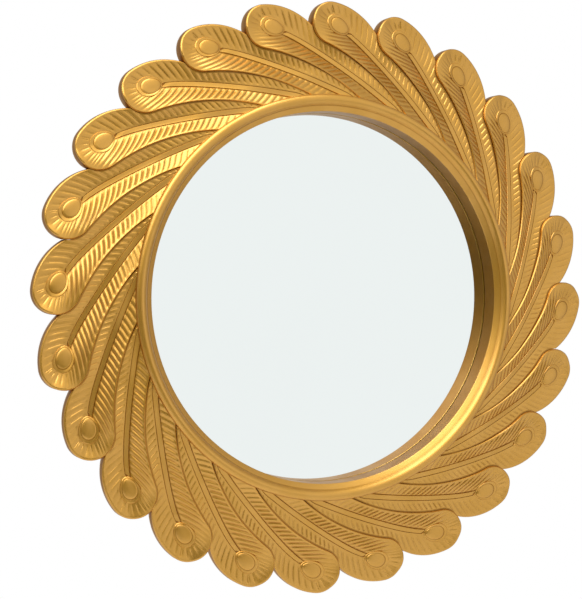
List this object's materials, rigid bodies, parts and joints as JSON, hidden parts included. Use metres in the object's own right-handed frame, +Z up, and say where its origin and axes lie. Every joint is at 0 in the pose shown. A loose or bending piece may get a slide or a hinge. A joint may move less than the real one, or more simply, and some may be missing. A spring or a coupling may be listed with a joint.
{
  "type": "wall mirror",
  "caption": "Round wall mirror with a recessed plain glass in a turned ring, framed by a swirl of overlapping peacock feathers in satin gold, hung on two keyhole plates.",
  "frame": {"origin": "centre of the flat back that lies on the wall, behind the middle of the glass", "axes": "+Y into the wall, the mirror looks along -Y, +Z up, +X to the right of a viewer in front"},
  "size_m": [0.5998, 0.045, 0.5998],
  "materials": {
    "gold_lacquer": "satin metallic gold lacquer over cast resin",
    "fibreboard": "raw fibreboard",
    "zinc_steel": "zinc plated steel",
    "mirror_glass": "silvered float glass",
    "felt": "grey pressed felt"
  },
  "bodies": {
    "frame": {"backing_board": "fibreboard", "carrier_ring": "fibreboard", "feather_01": "gold_lacquer", "feather_02": "gold_lacquer", "feather_03": "gold_lacquer", "feather_04": "gold_lacquer", "feather_05": "gold_lacquer", "feather_06": "gold_lacquer", "feather_07": "gold_lacquer", "feather_08": "gold_lacquer", "feather_09": "gold_lacquer", "feather_10": "gold_lacquer", "feather_11": "gold_lacquer", "feather_12": "gold_lacquer", "feather_13": "gold_lacquer", "feather_14": "gold_lacquer", "feather_15": "gold_lacquer", "feather_16": "gold_lacquer", "feather_17": "gold_lacquer", "feather_18": "gold_lacquer", "feather_19": "gold_lacquer", "feather_20": "gold_lacquer", "feather_21": "gold_lacquer", "feather_22": "gold_lacquer", "feather_23": "gold_lacquer", "feather_24": "gold_lacquer", "feather_screws": "zinc_steel", "felt_liner": "felt", "keyhole_plate_left": "zinc_steel", "keyhole_plate_right": "zinc_steel", "keyhole_plate_screws": "zinc_steel", "mirror_glass": "mirror_glass", "ring_moulding": "gold_lacquer", "ring_screws": "zinc_steel", "turn_button_screws": "zinc_steel"},
    "button_right": {"turn_button_right": "zinc_steel"},
    "button_top": {"turn_button_top": "zinc_steel"},
    "button_left": {"turn_button_left": "zinc_steel"},
    "button_bottom": {"turn_button_bottom": "zinc_steel"}
  },
  "joints": [
    {"name": "button_right_turn", "type": "hinge", "parent": "frame", "child": "button_right", "pos_m": [0.206, -0.00225, 0], "axis": [0, 1, 0], "range_deg": [-90, 90]},
    {"name": "button_top_turn", "type": "hinge", "parent": "frame", "child": "button_top", "pos_m": [0, -0.00225, 0.206], "axis": [0, 1, 0], "range_deg": [-90, 90]},
    {"name": "button_left_turn", "type": "hinge", "parent": "frame", "child": "button_left", "pos_m": [-0.206, -0.00225, 0], "axis": [0, 1, 0], "range_deg": [-90, 90]},
    {"name": "button_bottom_turn", "type": "hinge", "parent": "frame", "child": "button_bottom", "pos_m": [0, -0.00225, -0.206], "axis": [0, 1, 0], "range_deg": [-90, 90]}
  ]
}
